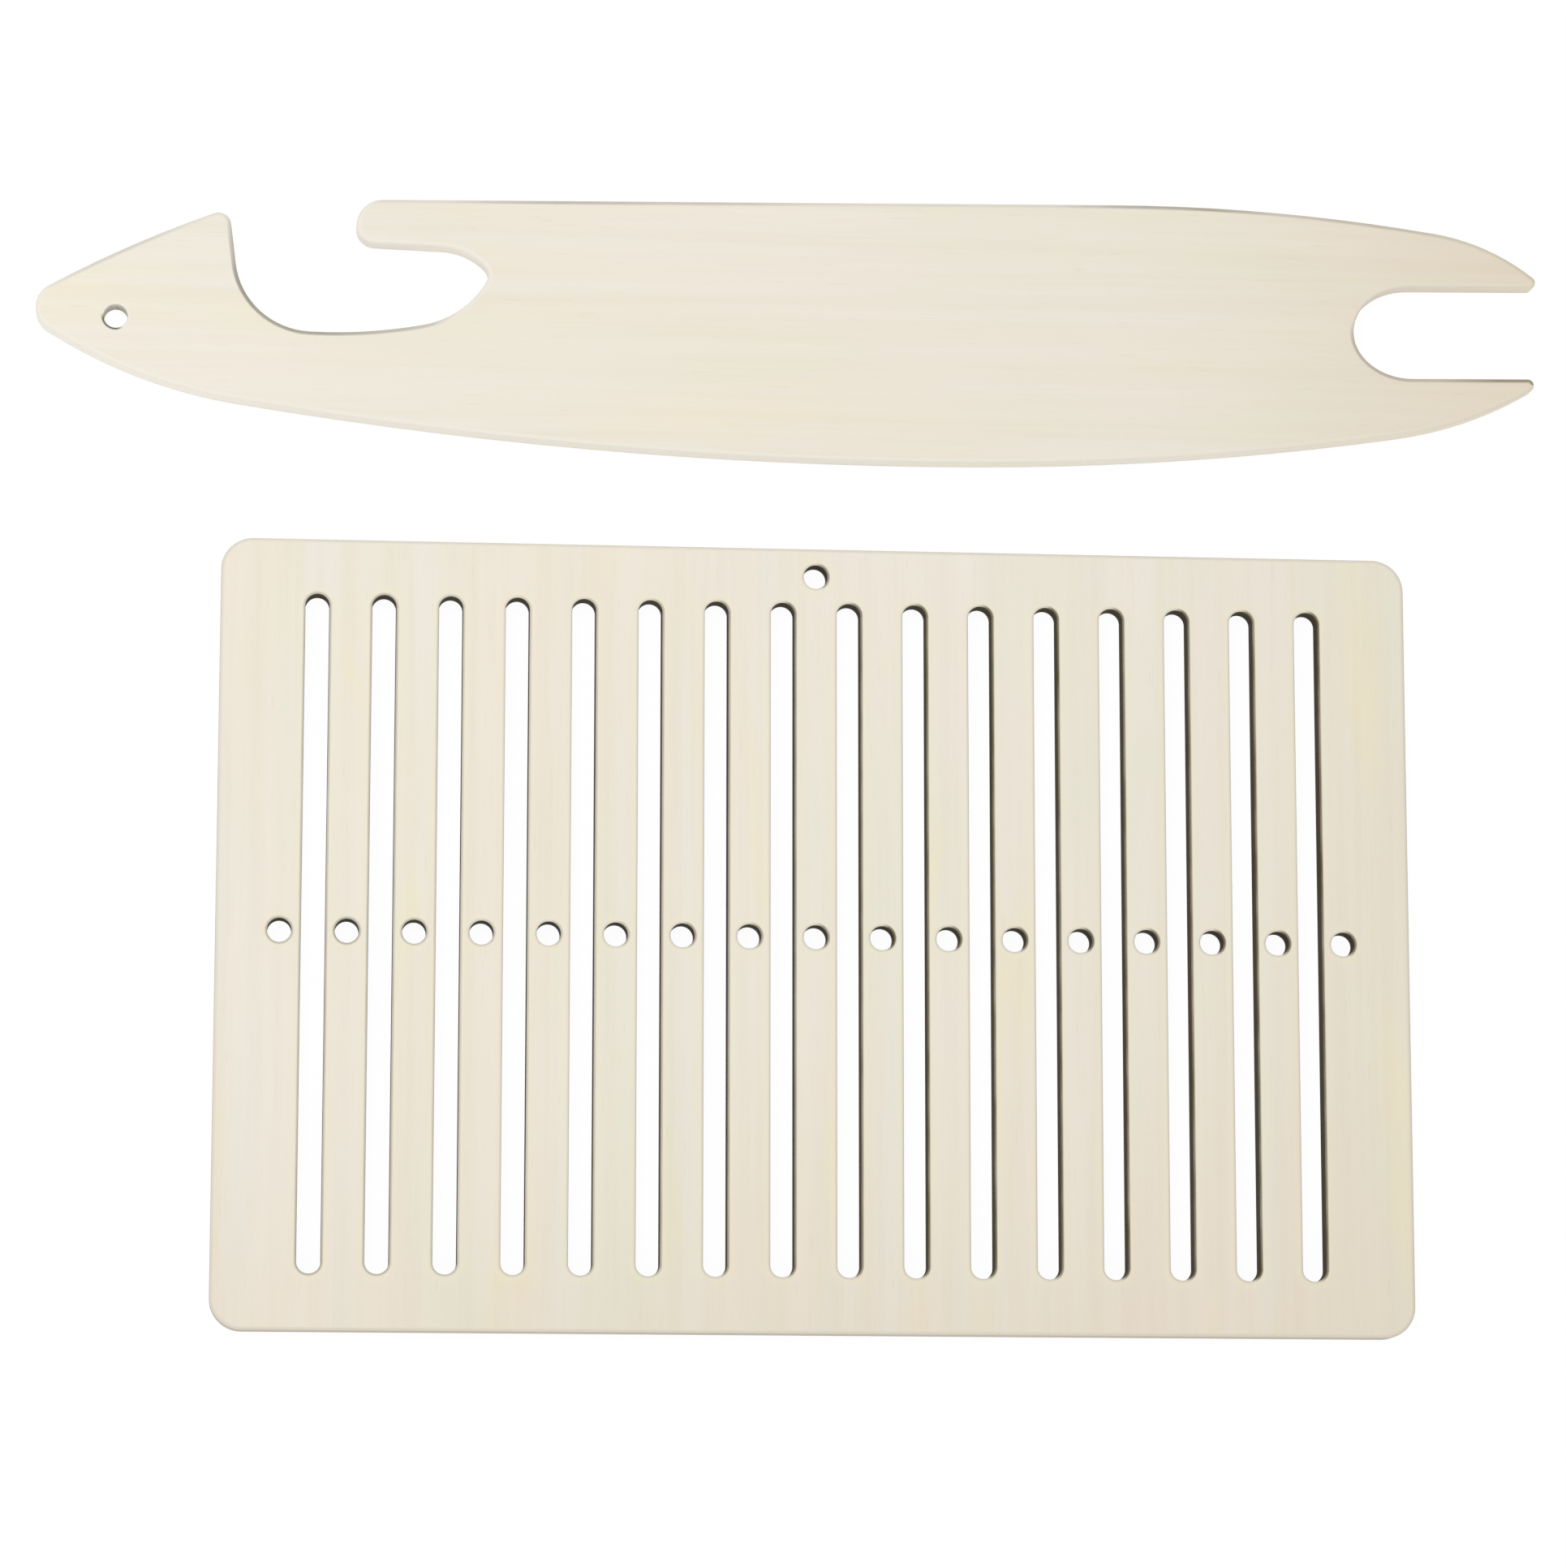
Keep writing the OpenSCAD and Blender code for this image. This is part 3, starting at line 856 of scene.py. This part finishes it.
class LOOM_OT_shuttle(bpy.types.Operator):
    """Build the shuttle with its hook notch, fork and tie hole"""

    bl_idname = "loom.shuttle"
    bl_label = "Shuttle plate"

    def execute(self, context):
        edges, finish = context.scene.loom_edges, colours()
        finish["arris"] = finish["soft_arris"]
        low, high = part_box("shuttle")
        thickness = high.z - low.z
        values = {
            "Thickness": thickness, "Arris": edges.shuttle_arris, "Cut arris": edges.cut_arris,
            "Margin": edges.margin, "Scorched side": edges.shuttle_side,
            "Board face": board_face("shuttle_face", finish, True, SHUTTLE_DARKER_END, SHUTTLE_MOTTLING),
            "Cut edge": board_edge("shuttle_cut_edge", finish, True, SHUTTLE_DARKER_END, thickness,
                                   edges.shuttle_arris),
        }
        plate = made_mesh(outline_curve("shuttle", high.z), shuttle_tree(), values, "shuttle_plate")
        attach(plate, "shuttle")
        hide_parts("shuttle")
        return {"FINISHED"}


class LOOM_OT_studio(bpy.types.Operator):
    """Build the pale floor, the soft light and the camera"""

    bl_idname = "loom.studio"
    bl_label = "Studio"

    def execute(self, context):
        settings = context.scene.loom_studio
        half = settings.floor_width / 2.0
        work = bmesh.new()
        bmesh.ops.create_grid(work, x_segments=1, y_segments=1, size=half)
        mesh = bpy.data.meshes.new("floor")
        work.to_mesh(mesh)
        work.free()
        mesh.materials.append(floor_finish())
        added("floor", mesh)
        studio_world(context.scene, settings.daylight)
        self.lamp("lamp", settings.lamp_power, LAMP_SIZE, LAMP_PLACE, LAMP_AIM)
        self.lamp("fill", settings.fill_power, FILL_SIZE, FILL_PLACE, FILL_AIM)
        camera = bpy.data.cameras.new("camera")
        camera.lens = settings.lens
        holder = added("camera", camera)
        holder.location = settings.place
        holder.rotation_euler = settings.turn
        context.scene.camera = holder
        context.scene.view_settings.view_transform = "Standard"
        return {"FINISHED"}

    def lamp(self, name, power, size, place, aim):
        """A soft round lamp that the camera doesn't see."""
        light = bpy.data.lights.new(name, "AREA")
        light.shape = "DISK"
        light.size = size
        light.energy = power
        light.color = LAMP_COLOUR
        holder = added(name, light)
        holder.visible_camera = False
        holder.location = place
        holder.rotation_euler = (Vector(aim) - Vector(place)).to_track_quat("-Z", "Y").to_euler()


def seen_directly(graph):
    """1 for what the camera, a gloss or a clear material sees, and 0 for the light itself."""
    path = graph.add("ShaderNodeLightPath")
    seen = path.out("Is Camera Ray").most(path.out("Is Glossy Ray"))
    return seen.most(path.out("Is Transmission Ray"))


def floor_finish():
    """A white floor that keeps a faint shadow of what lies on it."""
    material = bpy.data.materials.new("floor")
    material.use_nodes = True
    graph = Graph(material.node_tree)
    graph.tree.nodes.clear()
    paper = graph.add("ShaderNodeBsdfDiffuse", None, {"Color": PAPER}).out()
    glow = graph.add("ShaderNodeEmission", None, {"Color": WHITE, "Strength": FLOOR_GLOW}).out()
    share = seen_directly(graph) * FLOOR_WHITENESS
    surface = graph.add("ShaderNodeMixShader", None, {0: share, 1: paper, 2: glow}).out()
    graph.add("ShaderNodeOutputMaterial", None, {"Surface": surface})
    return material


def studio_world(scene, daylight):
    """Even light all round, seen as plain white."""
    world = bpy.data.worlds.new("studio")
    world.use_nodes = True
    scene.world = world
    graph = Graph(world.node_tree)
    graph.tree.nodes.clear()
    light = graph.add("ShaderNodeBackground", None, {"Color": DAYLIGHT_COLOUR, "Strength": daylight}).out()
    white = graph.add("ShaderNodeBackground", None, {"Color": WHITE, "Strength": 1.0}).out()
    surface = graph.add("ShaderNodeMixShader", None, {0: seen_directly(graph), 1: light, 2: white}).out()
    graph.add("ShaderNodeOutputWorld", None, {"Surface": surface})


class LOOM_PT_panel(bpy.types.Panel):
    """Sizes, colours and builders of the loom."""

    bl_idname = "LOOM_PT_panel"
    bl_label = "Band weaving loom"
    bl_space_type = "VIEW_3D"
    bl_region_type = "UI"
    bl_category = "Loom"

    def draw(self, context):
        column = self.layout.column()
        for group, held_as in GROUPS.items():
            for name in group.__annotations__:
                column.prop(getattr(context.scene, held_as), name)
        for operator in OPERATORS:
            column.operator(operator.bl_idname)


GROUPS = {HeddleSizes: "loom_heddle", EdgeSizes: "loom_edges", BoardColours: "loom_colours",
          StudioSettings: "loom_studio"}
OPERATORS = (LOOM_OT_heddle, LOOM_OT_shuttle, LOOM_OT_studio)


def register():
    for group, held_as in GROUPS.items():
        bpy.utils.register_class(group)
        setattr(bpy.types.Scene, held_as, bpy.props.PointerProperty(type=group))
    for operator in OPERATORS:
        bpy.utils.register_class(operator)
    bpy.utils.register_class(LOOM_PT_panel)


def unregister():
    bpy.utils.unregister_class(LOOM_PT_panel)
    for operator in reversed(OPERATORS):
        bpy.utils.unregister_class(operator)
    for group, held_as in reversed(list(GROUPS.items())):
        delattr(bpy.types.Scene, held_as)
        bpy.utils.unregister_class(group)


def main():
    """Registers the add-on and builds every piece."""
    register()
    bpy.ops.loom.heddle()
    bpy.ops.loom.shuttle()
    bpy.ops.loom.studio()


if __name__ == "__main__":
    main()
